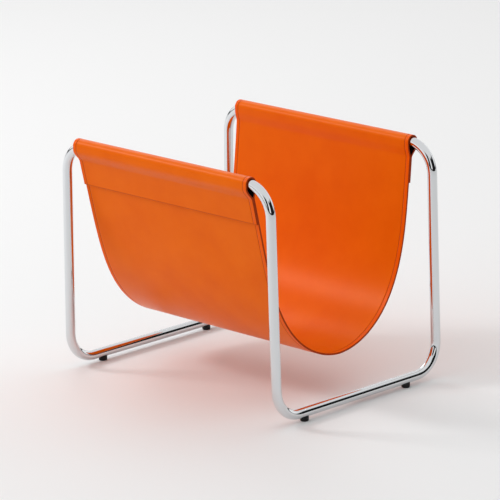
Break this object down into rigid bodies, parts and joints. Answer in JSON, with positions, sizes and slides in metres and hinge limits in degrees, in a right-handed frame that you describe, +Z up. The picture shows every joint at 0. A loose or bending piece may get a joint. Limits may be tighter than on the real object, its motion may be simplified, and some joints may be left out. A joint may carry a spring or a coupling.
{
  "type": "magazine rack",
  "caption": "Low magazine rack: a wide orange leather sling hung in a U between the two top rails of a bent chromed steel tube frame on small black glides.",
  "frame": {"origin": "on the floor under the middle of the rack, at the bottom centre of its box", "axes": "+X along the top rails to the right, +Y from the front flap to the rear, +Z up"},
  "size_m": [0.46, 0.3638, 0.3704],
  "materials": {
    "chromed_tube": "bright chrome plate",
    "turned_steel": "turned",
    "black_nylon": "moulded",
    "saddle_leather": "smooth dyed saddle leather",
    "edge_thread": "waxed polyester thread"
  },
  "bodies": {
    "root": {"frame_left": "chromed_tube", "frame_right": "chromed_tube", "spigot_front": "turned_steel", "spigot_rear": "turned_steel", "spigot_screws": "turned_steel", "glide_front_left": "black_nylon", "glide_front_right": "black_nylon", "glide_rear_left": "black_nylon", "glide_rear_right": "black_nylon", "sling_outer_ply": "saddle_leather", "sling_lining_ply": "saddle_leather", "edge_thread_left": "edge_thread", "edge_thread_right": "edge_thread"}
  },
  "joints": []
}
